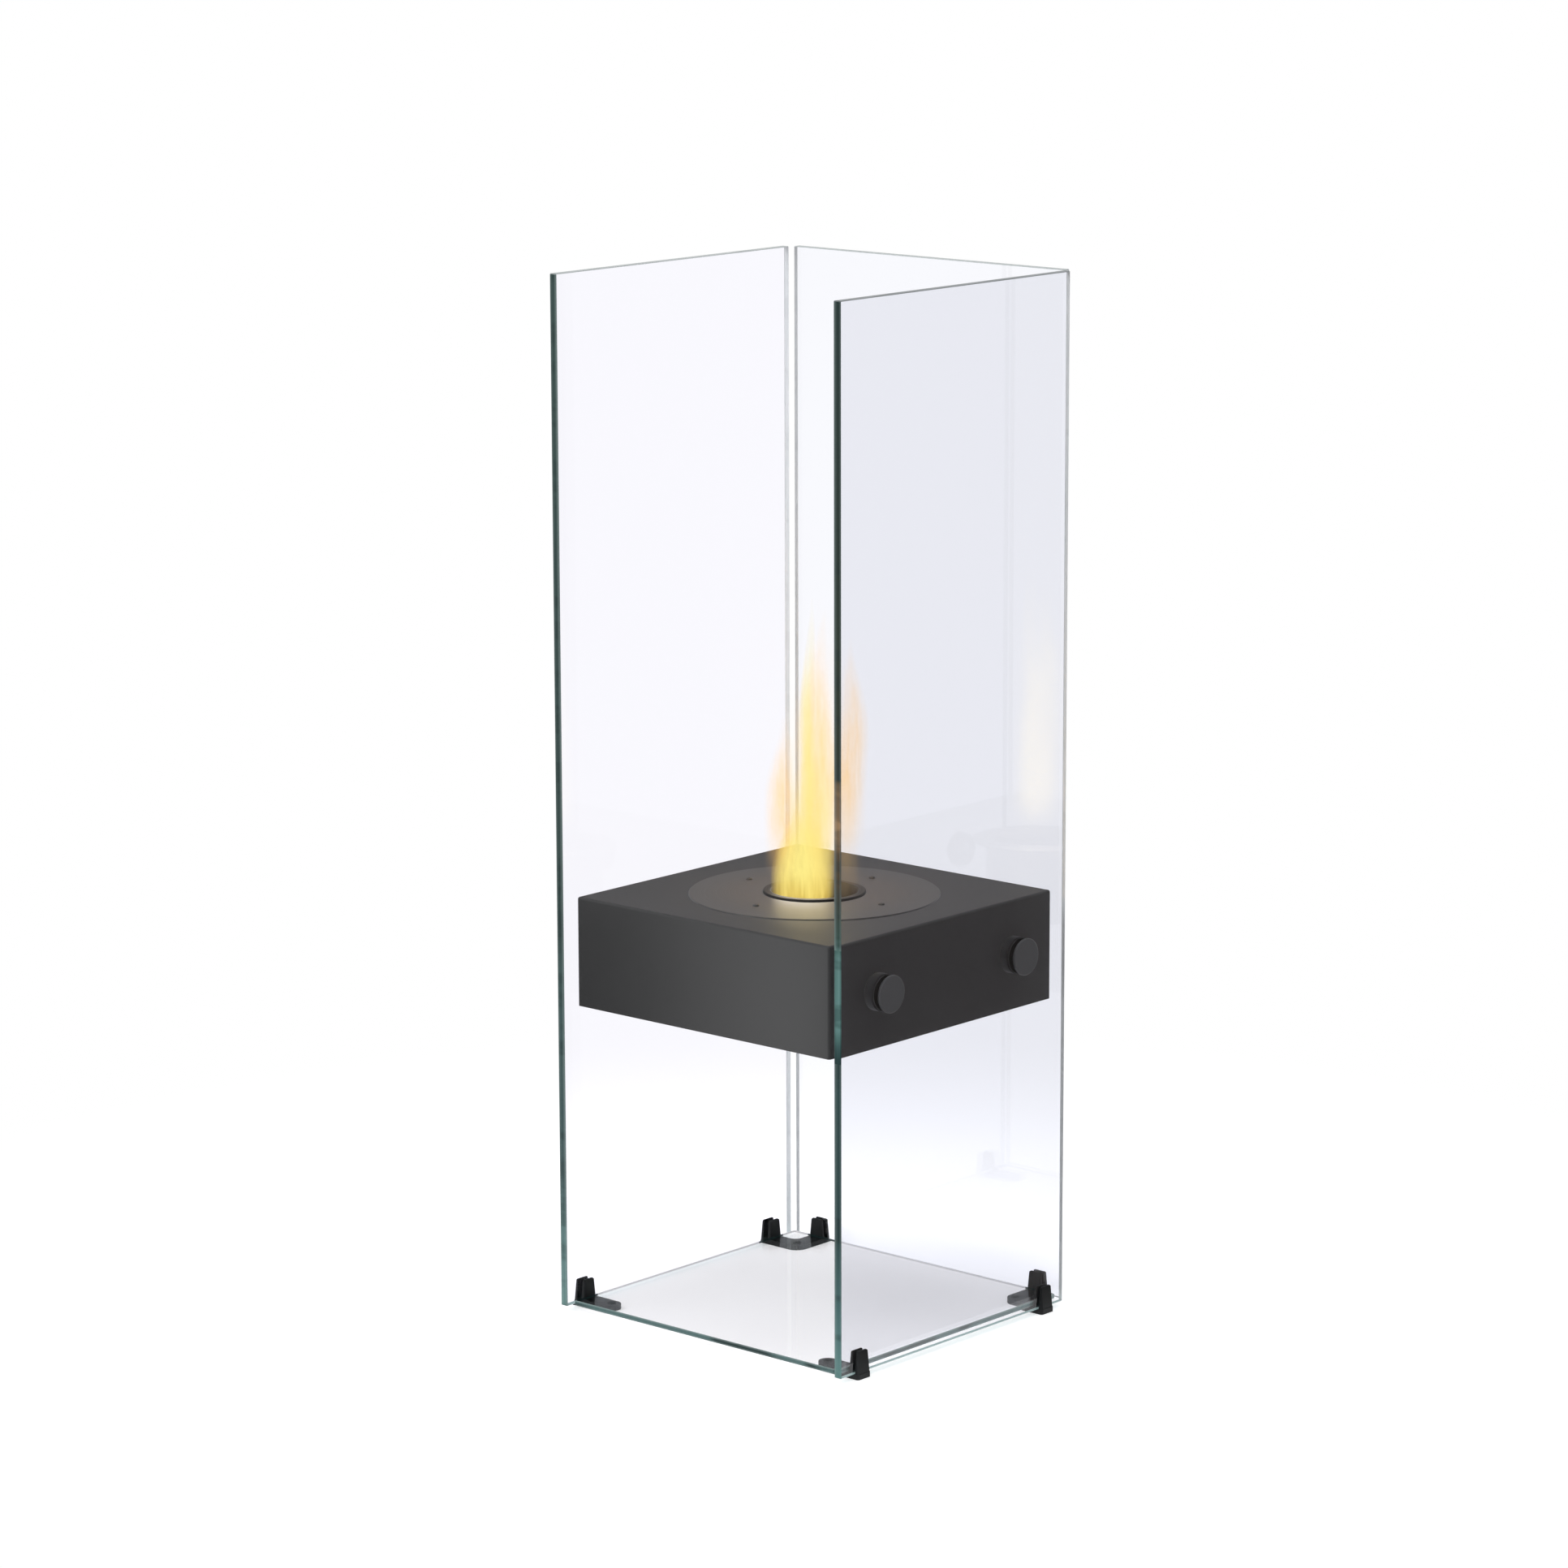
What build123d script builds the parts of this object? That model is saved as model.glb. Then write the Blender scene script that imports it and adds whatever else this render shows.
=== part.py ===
from build123d import *
from collections import namedtuple
import os

# Free-standing glass tower fire: three upright panes round a hung steel firebox with a round fuel burner.
# Millimetres, +Z up, floor at Z = 0, open side towards -Y, centred on the footprint.

# Glass
pane_thickness = 10.0
pane_height = 1200.0
arris = 0.8  # ground bevel along every glass edge
base_thickness = 6.0
base_gap = 6.0  # base plate edge to the panes' inner faces
base_front_inset = 6.0  # base plate edge behind the side panes' front ends
front_overhang = 8.5  # side panes stand this far in front of the firebox
corner_gap = 5.0  # open slot between a side pane's rear end and the rear pane
rear_pane_inset = 3.0  # rear pane's ends inside the side panes' inner faces

# Firebox, folded steel sheet
firebox_side = 382.0
firebox_height = 128.0
firebox_bottom = 366.0
sheet = 2.0
bend_inner_radius = 1.0
flange_width = 16.0
floor_clearance = 0.5
floor_screw_spread = 250.0
floor_screw_inset = 9.0  # screw line to the walls' inner faces

# Stand-offs that hold the firebox between the panes
standoff_spread = 236.0
standoff_drop = 62.5  # firebox top down to the stand-offs' line
disc_radius = 21.5  # spacer and cap
disc_bevel = 1.2
side_spacer_length = 13.0
rear_spacer_length = 7.0
gasket_thickness = 1.0
gasket_inset = 1.5  # gasket edge inside the discs' edge
cap_thickness = 4.0
cap_round = 1.2
cap_crown = 1.2  # solid cap face over the stud's end
glass_hole_radius = 7.0
bush_clearance = 0.2
stud_radius = 4.0
stud_clearance = 0.3
thread_clearance = 0.05
nut_across_flats = 13.0
nut_thickness = 6.5
nut_flange_radius = 9.0
nut_flange_thickness = 1.5
stud_tail = 3.0  # stud end past the nut

# Burner
plate_radius = 142.5
plate_thickness = 1.5
plate_bevel = 0.8
plate_screw_inset = 14.0  # screw circle outside the firebox's top opening
plate_screw_count = 4
cup_radius = 50.0
cup_depth = 80.0
cup_wall = 1.5
cup_bottom_round = 8.0
cup_clearance = 1.5
rim_overhang = 7.0  # rim outside the cup's wall
rim_height = 3.0
rim_round = 1.0
well_clearance = 8.0  # cup wall to well wall
well_floor_gap = 18.5  # cup bottom to well floor
well_wall = 1.5
well_flange_width = 16.0
top_opening_clearance = 10.0  # well flange to the firebox's top opening
wool_clearance = 0.4
mouth_depth = 20.0  # rim down to the screen
screen_thickness = 1.0
screen_hole_radius = 4.5
screen_ring_step = 16.0
screen_rings = 2

# M4 screws and nuts
screw_radius = 2.0
screw_hole_clearance = 0.25
screw_head_radius = 3.8
screw_head_height = 2.2
screw_head_bevel = 1.0
small_nut_across_flats = 7.0
small_nut_thickness = 3.2
screw_tail = 1.5

# Corner feet, moulded rubber
foot_sole = 6.0
foot_reach = 48.5  # panes' outer faces to the arms' centre lines
front_foot_setback = 34.0  # front ends of the panes to the front arms' centre lines
arm_width = 22.0
arm_inner_round = 9.0
arm_outer_round = 15.0
lug_wall = 5.5
lug_height = 32.0
lug_draft = 5.0  # degrees that each side leans in
lug_corner = 3.0
crown_round = 2.0
slot_clearance = 0.1
pad_radius = 5.0
pad_thickness = 1.5
pad_recess = 0.5
pad_clearance = 0.2

# Planes that the pieces share, measured from the burner's axis
firebox_half = firebox_side / 2
firebox_top = firebox_bottom + firebox_height
standoff_height = firebox_top - standoff_drop
wall_inner = firebox_half - sheet
pane_front = firebox_half + front_overhang
base_bottom = foot_sole + pad_thickness - pad_recess
plate_top = firebox_top + plate_thickness
rim_top = plate_top + rim_height
cup_bottom = rim_top - cup_depth
screen_top = rim_top - mouth_depth
cup_inner_radius = cup_radius - cup_wall
rim_radius = cup_radius + rim_overhang
well_radius = cup_radius + well_clearance
well_bottom = cup_bottom - well_floor_gap - well_wall
top_opening_radius = well_radius + well_flange_width + top_opening_clearance
plate_screw_radius = top_opening_radius + plate_screw_inset

# What a stand-off clamps, out from the firebox wall
Layers = namedtuple("Layers", "spacer_end pane_inner pane_middle pane_outer cap_start cap_end")


def layers(spacer_length):
    spacer_end = firebox_half + spacer_length
    pane_inner = spacer_end + gasket_thickness
    pane_outer = pane_inner + pane_thickness
    cap_start = pane_outer + gasket_thickness
    return Layers(spacer_end, pane_inner, pane_inner + pane_thickness / 2, pane_outer, cap_start,
                  cap_start + cap_thickness)


side_layers = layers(side_spacer_length)
rear_layers = layers(rear_spacer_length)
pane_rear = rear_layers.pane_inner - corner_gap

# The side panes' fronts, and the rear caps or heels, are the part's front and back
part_rear = max(rear_layers.cap_end, rear_layers.pane_outer + lug_wall)
burner_axis_y = (pane_front - part_rear) / 2

# A group built on the +Y side turns about the burner's axis to face each pane
pane_turns = {"left": 90, "rear": 0, "right": -90}
pane_layers = {"left": side_layers, "rear": rear_layers, "right": side_layers}


def rod(radius, low, high):
    return Pos(0, 0, low) * extrude(Circle(radius), high - low)


def tube(inner_radius, outer_radius, low, high):
    ring = Circle(outer_radius) - Circle(inner_radius)
    return Pos(0, 0, low) * extrude(ring, high - low)


def hexagon_nut(across_flats, bore_radius, low, high):
    outline = RegularPolygon(across_flats / 2, 6, major_radius=False) - Circle(bore_radius)
    return Pos(0, 0, low) * extrude(outline, high - low)


def nearest_corner(section, radius, height):
    return section.vertices().sort_by_distance((radius, 0, height))[0]


def spin(points, rounds=()):
    """Revolve an (r, z) outline about the Z axis, with some of its corners rounded."""
    section = make_face(Polyline([(r, 0, z) for r, z in points], close=True))
    for radius, height, size in rounds:
        section = fillet(nearest_corner(section, radius, height), size)
    return revolve(section, Axis.Z)


# Glass panes

def pane(at, low, high):
    """Upright pane on the +Y side, drilled for its stand-offs."""
    blank = Box(high - low, pane_thickness, pane_height)
    blank = chamfer(blank.edges(), arris)
    blank = Pos((low + high) / 2, at.pane_middle, foot_sole + pane_height / 2) * blank
    drill = rod(glass_hole_radius, at.pane_inner, at.pane_outer)
    return blank - at_standoffs(drill)


def base_plate():
    half_width = side_layers.pane_inner - base_gap
    front = base_front_inset - pane_front
    back = rear_layers.pane_inner - base_gap
    plate = Box(2 * half_width, back - front, base_thickness)
    plate = chamfer(plate.edges(), arris)
    return Pos(0, (front + back) / 2, base_bottom + base_thickness / 2) * plate


# Stand-offs, built along +Z and laid along +Y, with Z as the distance from the burner's axis

def at_standoffs(piece):
    spots = [-standoff_spread / 2, standoff_spread / 2]
    return [Pos(x, 0, standoff_height) * Rot(-90, 0, 0) * piece for x in spots]


def spacer(at):
    blank = rod(disc_radius, firebox_half, at.spacer_end)
    blank = chamfer(blank.edges().filter_by(GeomType.CIRCLE), disc_bevel)
    return blank - rod(stud_radius + stud_clearance, firebox_half, at.spacer_end)


def gaskets(at):
    outer = disc_radius - gasket_inset
    inner_ring = tube(glass_hole_radius, outer, at.spacer_end, at.pane_inner)
    outer_ring = tube(glass_hole_radius, outer, at.pane_outer, at.cap_start)
    return [inner_ring, outer_ring]


def bush(at):
    bore = stud_radius + stud_clearance
    return tube(bore, glass_hole_radius - bush_clearance, at.spacer_end, at.cap_start)


def cap(at):
    blank = rod(disc_radius, at.cap_start, at.cap_end)
    blank = fillet(blank.edges().group_by(Axis.Z)[-1], cap_round)
    blank = chamfer(blank.edges().group_by(Axis.Z)[0], disc_bevel)
    return blank - rod(stud_radius + thread_clearance, at.cap_start, at.cap_end - cap_crown)


def flange_nut():
    bore = stud_radius + thread_clearance
    top = wall_inner - nut_flange_thickness
    flange = tube(bore, nut_flange_radius, top, wall_inner)
    return flange + hexagon_nut(nut_across_flats, bore, top - nut_thickness, top)


def stud(at):
    start = wall_inner - nut_flange_thickness - nut_thickness - stud_tail
    return rod(stud_radius, start, at.cap_end - cap_crown)


# Firebox

def firebox_body():
    """Five folded sides, turned in along the bottom, with drilled walls and an opening in the top."""
    middle = Pos(0, 0, firebox_bottom + firebox_height / 2)
    shell = Box(firebox_side, firebox_side, firebox_height)
    bends = shell.edges().filter_by(Axis.Z) + shell.faces().sort_by(Axis.Z)[-1].edges()
    shell = middle * fillet(bends, bend_inner_radius + sheet)
    ledge = firebox_bottom + 2 * sheet
    room_height = firebox_top - sheet - ledge
    room = Box(2 * wall_inner, 2 * wall_inner, room_height)
    room = fillet(room.edges().filter_by(Axis.Z), bend_inner_radius)
    mouth_side = 2 * (wall_inner - flange_width)
    mouth = Pos(0, 0, firebox_bottom + sheet) * Box(mouth_side, mouth_side, 2 * sheet)
    floor_seat = Pos(0, 0, firebox_bottom) * Box(2 * wall_inner, 2 * wall_inner, 2 * sheet)
    shell = shell - Pos(0, 0, ledge + room_height / 2) * room - mouth - floor_seat
    shell = shell - rod(top_opening_radius, firebox_top - sheet, firebox_top)
    shell = shell - at_plate_screws(screw_hole(firebox_top - sheet, firebox_top))
    shell = shell - at_floor_screws(screw_hole(firebox_bottom, ledge))
    stud_hole = rod(stud_radius + stud_clearance, wall_inner, firebox_half)
    for turn in pane_turns.values():
        shell = shell - [Rot(0, 0, turn) * hole for hole in at_standoffs(stud_hole)]
    return shell


def firebox_floor():
    side = 2 * (wall_inner - floor_clearance)
    plate = Pos(0, 0, firebox_bottom + sheet / 2) * Box(side, side, sheet)
    return plate - at_floor_screws(screw_hole(firebox_bottom, firebox_bottom + sheet))


def at_floor_screws(piece):
    line = wall_inner - floor_screw_inset
    half = floor_screw_spread / 2
    spots = [(x, y) for x in (-half, half) for y in (-line, line)]
    spots += [(x, y) for x in (-line, line) for y in (-half, half)]
    return [Pos(x, y, 0) * piece for x, y in spots]


def at_plate_screws(piece):
    spots = PolarLocations(plate_screw_radius, plate_screw_count)
    return [spot * piece for spot in spots]


def screw_hole(low, high):
    return rod(screw_radius + screw_hole_clearance, low, high)


def button_screw(seat, tip):
    """Round-headed screw whose head bears on the seat and whose shank ends at the tip."""
    head = rod(screw_head_radius, 0, screw_head_height)
    head = chamfer(head.edges().group_by(Axis.Z)[-1], screw_head_bevel)
    screw = head + rod(screw_radius, -abs(seat - tip), 0)
    if seat < tip:
        screw = Rot(180, 0, 0) * screw
    return Pos(0, 0, seat) * screw


def plate_screw():
    return button_screw(plate_top, firebox_top - sheet - small_nut_thickness - screw_tail)


def small_nut(low):
    bore = screw_radius + thread_clearance
    return hexagon_nut(small_nut_across_flats, bore, low, low + small_nut_thickness)


def plate_nut():
    return small_nut(firebox_top - sheet - small_nut_thickness)


def floor_screw():
    return button_screw(firebox_bottom, firebox_bottom + 2 * sheet + small_nut_thickness + screw_tail)


def floor_nut():
    return small_nut(firebox_bottom + 2 * sheet)


# Burner

def burner_plate():
    plate = rod(plate_radius, firebox_top, plate_top)
    plate = chamfer(plate.edges().group_by(Axis.Z)[-1], plate_bevel)
    plate = plate - rod(cup_radius + cup_clearance, firebox_top, plate_top)
    return plate - at_plate_screws(screw_hole(firebox_top, plate_top))


def burner_well():
    """Spill can under the plate that the fuel cup hangs in."""
    top = firebox_top
    low = well_bottom
    outline = [
        (0, low),
        (well_radius, low),
        (well_radius, top - well_wall),
        (well_radius + well_flange_width, top - well_wall),
        (well_radius + well_flange_width, top),
        (well_radius - well_wall, top),
        (well_radius - well_wall, low + well_wall),
        (0, low + well_wall),
    ]
    return spin(outline, [(well_radius, low, cup_bottom_round)])


def burner_cup():
    """Deep-drawn fuel cup with a rolled rim that rests on the plate."""
    outline = [
        (0, cup_bottom),
        (cup_radius, cup_bottom),
        (cup_radius, rim_top - cup_wall),
        (rim_radius - cup_wall, rim_top - cup_wall),
        (rim_radius - cup_wall, plate_top),
        (rim_radius, plate_top),
        (rim_radius, rim_top),
        (cup_inner_radius, rim_top),
        (cup_inner_radius, cup_bottom + cup_wall),
        (0, cup_bottom + cup_wall),
    ]
    rounds = [
        (cup_radius, cup_bottom, cup_bottom_round),
        (cup_inner_radius, cup_bottom + cup_wall, cup_bottom_round - cup_wall),
        (rim_radius, rim_top, rim_round),
        (cup_inner_radius, rim_top, rim_round),
    ]
    return spin(outline, rounds)


def ceramic_wool():
    low = cup_bottom + cup_wall
    blank = rod(cup_inner_radius - wool_clearance, low, screen_top - screen_thickness)
    return fillet(blank.edges().group_by(Axis.Z)[0], cup_bottom_round)


def flame_screen():
    disc = Circle(cup_inner_radius - wool_clearance) - Circle(screen_hole_radius)
    for ring in range(1, screen_rings + 1):
        disc = disc - PolarLocations(ring * screen_ring_step, 6 * ring) * Circle(screen_hole_radius)
    return Pos(0, 0, screen_top - screen_thickness) * extrude(disc, screen_thickness)


# Corner feet, the rear ones built square to the side panes and then moved to the rear pane

arm_line = side_layers.pane_outer - foot_reach
front_arm_y = front_foot_setback - pane_front
to_rear_pane = Pos(0, rear_layers.pane_outer - side_layers.pane_outer, 0)


def lug():
    """Drafted upright round a pane's bottom edge, with the pane's thickness along X."""
    outline = RectangleRounded(pane_thickness + 2 * lug_wall, arm_width, lug_corner)
    upright = extrude(outline, lug_height, taper=lug_draft)
    upright = fillet(upright.faces().sort_by(Axis.Z)[-1].edges(), crown_round)
    slot = Box(pane_thickness + 2 * slot_clearance, 2 * arm_width, lug_height)
    return upright - Pos(0, 0, foot_sole + lug_height / 2) * slot


def arm_outline(toe, centre_y):
    """Flat arm from its toe under the base plate to its heel outside the pane."""
    heel = side_layers.pane_outer + lug_wall
    outline = Pos((heel + toe) / 2, centre_y, 0) * Rectangle(heel - toe, arm_width)
    return fillet(outline.vertices().group_by(Axis.X)[-1], lug_corner)


def pad_spot(centre_y):
    return Pos(arm_line, centre_y, 0)


def pad_seat(centre_y):
    return pad_spot(centre_y) * rod(pad_radius + pad_clearance, foot_sole - pad_recess, foot_sole)


def base_pad(centre_y):
    low = foot_sole - pad_recess
    return pad_spot(centre_y) * rod(pad_radius, low, low + pad_thickness)


def front_foot():
    """One lug with an arm that runs in under the base plate to a rounded end."""
    arm = arm_outline(arm_line, front_arm_y)
    outline = arm + pad_spot(front_arm_y) * Circle(arm_width / 2)
    sole = extrude(outline, foot_sole) - pad_seat(front_arm_y)
    return sole + Pos(side_layers.pane_middle, front_arm_y, 0) * lug()


def rear_foot():
    """Two lugs, one for each pane, joined by a bent arm under the base plate's corner."""
    toe = arm_line - arm_width / 2
    crook = arm_line + arm_width / 2
    side_arm = arm_outline(toe, arm_line)
    diagonal = Plane((0, 0, 0), x_dir=(0, 0, 1), z_dir=(1, -1, 0))
    outline = side_arm + mirror(side_arm, about=diagonal)
    outline = fillet(outline.vertices().sort_by_distance((toe, toe, 0))[0], arm_outer_round)
    outline = fillet(outline.vertices().sort_by_distance((crook, crook, 0))[0], arm_inner_round)
    sole = extrude(outline, foot_sole) - pad_seat(arm_line)
    side_lug = Pos(side_layers.pane_middle, arm_line, 0) * lug()
    rear_lug = Pos(arm_line, side_layers.pane_middle, 0) * Rot(0, 0, 90) * lug()
    return to_rear_pane * (sole + side_lug + rear_lug)


def both_sides(piece):
    return [piece, mirror(piece, about=Plane.YZ)]


# Every node, in the burner's frame
rear_half_width = side_layers.pane_inner - rear_pane_inset
nodes = {
    "left_glass": Rot(0, 0, pane_turns["left"]) * pane(side_layers, -pane_front, pane_rear),
    "rear_glass": pane(rear_layers, -rear_half_width, rear_half_width),
    "right_glass": Rot(0, 0, pane_turns["right"]) * pane(side_layers, -pane_rear, pane_front),
    "base_glass": base_plate(),
    "front_right_foot": front_foot(),
    "front_left_foot": mirror(front_foot(), about=Plane.YZ),
    "rear_right_foot": rear_foot(),
    "rear_left_foot": mirror(rear_foot(), about=Plane.YZ),
    "base_pads": both_sides(base_pad(front_arm_y)) + both_sides(to_rear_pane * base_pad(arm_line)),
    "firebox_body": firebox_body(),
    "firebox_floor": firebox_floor(),
    "floor_screws": at_floor_screws(floor_screw()),
    "floor_nuts": at_floor_screws(floor_nut()),
    "burner_plate": burner_plate(),
    "plate_screws": at_plate_screws(plate_screw()),
    "plate_nuts": at_plate_screws(plate_nut()),
    "burner_well": burner_well(),
    "burner_cup": burner_cup(),
    "ceramic_wool": ceramic_wool(),
    "flame_screen": flame_screen(),
}

for side, turn in pane_turns.items():
    at = pane_layers[side]
    standoff_pieces = {
        "spacers": [spacer(at)],
        "gaskets": gaskets(at),
        "bushes": [bush(at)],
        "caps": [cap(at)],
        "nuts": [flange_nut()],
        "studs": [stud(at)],
    }
    for name, pieces in standoff_pieces.items():
        laid = [solid for piece in pieces for solid in at_standoffs(piece)]
        nodes[f"{side}_{name}"] = [Rot(0, 0, turn) * solid for solid in laid]

os.makedirs("parts", exist_ok=True)
for name, shape in nodes.items():
    group = shape if isinstance(shape, list) else [shape]
    solids = [solid for piece in group for solid in (Pos(0, burner_axis_y, 0) * piece).solids()]
    export_step(Compound(solids), f"parts/{name}.step")
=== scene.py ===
import bpy
import math
from mathutils import Matrix, Vector


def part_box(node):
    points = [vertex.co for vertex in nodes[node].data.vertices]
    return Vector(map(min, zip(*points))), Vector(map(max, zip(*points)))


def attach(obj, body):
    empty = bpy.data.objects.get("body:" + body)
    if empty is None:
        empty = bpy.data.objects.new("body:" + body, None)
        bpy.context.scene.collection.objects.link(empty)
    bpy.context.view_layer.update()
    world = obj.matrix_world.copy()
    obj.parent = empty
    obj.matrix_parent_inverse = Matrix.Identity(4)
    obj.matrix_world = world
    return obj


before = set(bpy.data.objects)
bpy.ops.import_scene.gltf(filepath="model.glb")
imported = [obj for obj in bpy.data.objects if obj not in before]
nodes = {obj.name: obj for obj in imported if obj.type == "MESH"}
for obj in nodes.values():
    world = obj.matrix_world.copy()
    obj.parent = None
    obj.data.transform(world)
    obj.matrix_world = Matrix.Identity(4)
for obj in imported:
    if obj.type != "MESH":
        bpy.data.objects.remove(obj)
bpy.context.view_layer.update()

# Sizes of what is added here, in metres
edge_lift = 0.00005  # ground edge above the glass it lies on
edge_skin = 0.00003
edge_sink = -0.00010  # rear and lower edges lie within the glass, so that they end its inner mirrors
weld_reach = 0.00001
skin_weld_reach = 0.000005
screw_head_radius = 0.0038
floor_screw_half = 0.125  # middle of a firebox side to its floor screws
socket_flats = 0.0026
socket_depth = 0.0004
socket_proud = 0.00003

# Places read from the solids
plate_low, plate_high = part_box("burner_plate")
burner_axis = Vector(((plate_low[0] + plate_high[0]) / 2, (plate_low[1] + plate_high[1]) / 2, 0.0))
plate_screw_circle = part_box("plate_screws")[1][0] - screw_head_radius
floor_screw_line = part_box("floor_screws")[1][0] - screw_head_radius
pane_low, pane_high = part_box("right_glass")
pane_inner, pane_outer, pane_top = pane_low[0], pane_high[0], pane_high[2]
base_low, base_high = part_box("base_glass")
firebox_low, firebox_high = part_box("firebox_body")
rim_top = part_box("burner_cup")[1][2]
screen_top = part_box("flame_screen")[1][2]
front_lug_low, front_lug_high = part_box("front_left_foot")
rear_lug_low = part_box("rear_right_foot")[0]
lug_width = front_lug_high[1] - front_lug_low[1]
lug_depth = base_low[0] - front_lug_low[0]


# Node trees

NUMBER, COLOUR, VECTOR = "NodeSocketFloat", "NodeSocketColor", "NodeSocketVector"
COUNT, GEOMETRY = "NodeSocketInt", "NodeSocketGeometry"
OBJECT, MATERIAL = "NodeSocketObject", "NodeSocketMaterial"
noise_middle = 0.5
noise_roughness = 0.55
one_or_more = 0.5  # a ray that has met a mirror or a pane has a count above this


def add_node(tree, kind, **settings):
    node = tree.nodes.new(kind)
    for name, value in settings.items():
        setattr(node, name, value)
    return node


def feed(tree, socket, value):
    """Link another socket into this one, or set it to a plain value."""
    if isinstance(value, bpy.types.NodeSocket):
        tree.links.new(value, socket)
    else:
        socket.default_value = value


def feed_in_turn(tree, node, values):
    for socket, value in zip(node.inputs, values):
        feed(tree, socket, value)


def maths(tree, operation, *values):
    node = add_node(tree, "ShaderNodeMath", operation=operation)
    feed_in_turn(tree, node, values)
    return node.outputs[0]


def product(tree, first, *others):
    for other in others:
        first = maths(tree, "MULTIPLY", first, other)
    return first


def between(tree, value, low, high):
    """1 where a value lies between two limits, 0 elsewhere."""
    return product(tree, maths(tree, "GREATER_THAN", value, low), maths(tree, "LESS_THAN", value, high))


def stray(tree, value, size):
    """How far a noise strays from its middle, times a size."""
    return product(tree, maths(tree, "SUBTRACT", value, noise_middle), size)


def vector_maths(tree, operation, *values):
    node = add_node(tree, "ShaderNodeVectorMath", operation=operation)
    feed_in_turn(tree, node, values)
    return node.outputs["Value"] if operation in ("DOT_PRODUCT", "LENGTH") else node.outputs["Vector"]


def scaled(tree, vector, size):
    node = add_node(tree, "ShaderNodeVectorMath", operation="SCALE")
    tree.links.new(vector, node.inputs[0])
    tree.links.new(size, node.inputs["Scale"])
    return node.outputs["Vector"]


def split(tree, vector):
    node = add_node(tree, "ShaderNodeSeparateXYZ")
    feed(tree, node.inputs[0], vector)
    return node.outputs["X"], node.outputs["Y"], node.outputs["Z"]


def merge(tree, x, y, z):
    node = add_node(tree, "ShaderNodeCombineXYZ")
    feed_in_turn(tree, node, (x, y, z))
    return node.outputs[0]


def spread(tree, value, from_low, from_high, to_low=0.0, to_high=1.0, smooth=False):
    """Carry a value from one range to another, held at the ends."""
    node = add_node(tree, "ShaderNodeMapRange", clamp=True)
    if smooth:
        node.interpolation_type = "SMOOTHSTEP"
    for name, number in zip(("Value", "From Min", "From Max", "To Min", "To Max"),
                            (value, from_low, from_high, to_low, to_high)):
        feed(tree, node.inputs[name], number)
    return node.outputs["Result"]


def blend_colours(tree, share, first, second):
    node = add_node(tree, "ShaderNodeMix", data_type="RGBA")
    feed(tree, node.inputs["Factor"], share)
    feed(tree, node.inputs[6], first)
    feed(tree, node.inputs[7], second)
    return node.outputs[2]


def colour_steps(tree, share, steps):
    """Colour ramp with (place, colour) steps."""
    node = add_node(tree, "ShaderNodeValToRGB")
    ramp = node.color_ramp
    while len(ramp.elements) < len(steps):
        ramp.elements.new(1.0)
    for element, (spot, colour) in zip(ramp.elements, steps):
        element.position = spot
        element.color = opaque(colour)
    feed(tree, node.inputs[0], share)
    return node.outputs["Color"]


def opaque(colour):
    return (*colour, 1.0)


def even(colour):
    """Colour steps of one tone from end to end."""
    return [(0.0, colour), (1.0, colour)]


def noise(tree, vector, scale, detail):
    node = add_node(tree, "ShaderNodeTexNoise")
    feed(tree, node.inputs["Vector"], vector)
    feed(tree, node.inputs["Scale"], scale)
    node.inputs["Detail"].default_value = detail
    node.inputs["Roughness"].default_value = noise_roughness
    return node.outputs[0]


def stretched_noise(tree, stretch, scale, detail):
    """Noise drawn out along the axes whose stretch is small."""
    return noise(tree, vector_maths(tree, "MULTIPLY", place(tree), stretch), scale, detail)


def place(tree):
    return add_node(tree, "ShaderNodeTexCoord").outputs["Object"]


def height(tree):
    return split(tree, place(tree))[2]


def new_group(name, kind, inputs, outputs):
    """Node group with named sockets, given as (name, socket kind, start value)."""
    tree = bpy.data.node_groups.new(name, kind)
    for socket_name, socket_kind, value in inputs:
        socket = tree.interface.new_socket(socket_name, in_out="INPUT", socket_type=socket_kind)
        if value is not None:
            socket.default_value = value
    for socket_name, socket_kind in outputs:
        tree.interface.new_socket(socket_name, in_out="OUTPUT", socket_type=socket_kind)
    entry = add_node(tree, "NodeGroupInput")
    leave = add_node(tree, "NodeGroupOutput")
    return tree, entry.outputs, leave.inputs


# Effects that several finishes share

def make_grain():
    """Slow mottling of colour and gloss with a fine tooth on top, as on coats, mouldings and castings."""
    tree, given, result = new_group("Grain", "ShaderNodeTree", [
        ("Colour", COLOUR, None), ("Mottle", NUMBER, 0.1), ("Mottle Scale", NUMBER, 14.0),
        ("Gloss", NUMBER, 0.4), ("Gloss Spread", NUMBER, 0.08), ("Tooth Scale", NUMBER, 1500.0),
    ], [("Colour", COLOUR), ("Roughness", NUMBER), ("Height", NUMBER)])
    here = place(tree)
    slow = noise(tree, here, given["Mottle Scale"], detail=4.0)
    fine = noise(tree, here, given["Tooth Scale"], detail=2.0)
    tone = maths(tree, "ADD", 1.0, product(tree, stray(tree, slow, given["Mottle"]), 2.0))
    mottled = vector_maths(tree, "MULTIPLY", given["Colour"], merge(tree, tone, tone, tone))
    tree.links.new(mottled, result["Colour"])
    sway = stray(tree, slow, given["Gloss Spread"])
    tree.links.new(maths(tree, "ADD", given["Gloss"], sway), result["Roughness"])
    tree.links.new(fine, result["Height"])
    return tree


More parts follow.
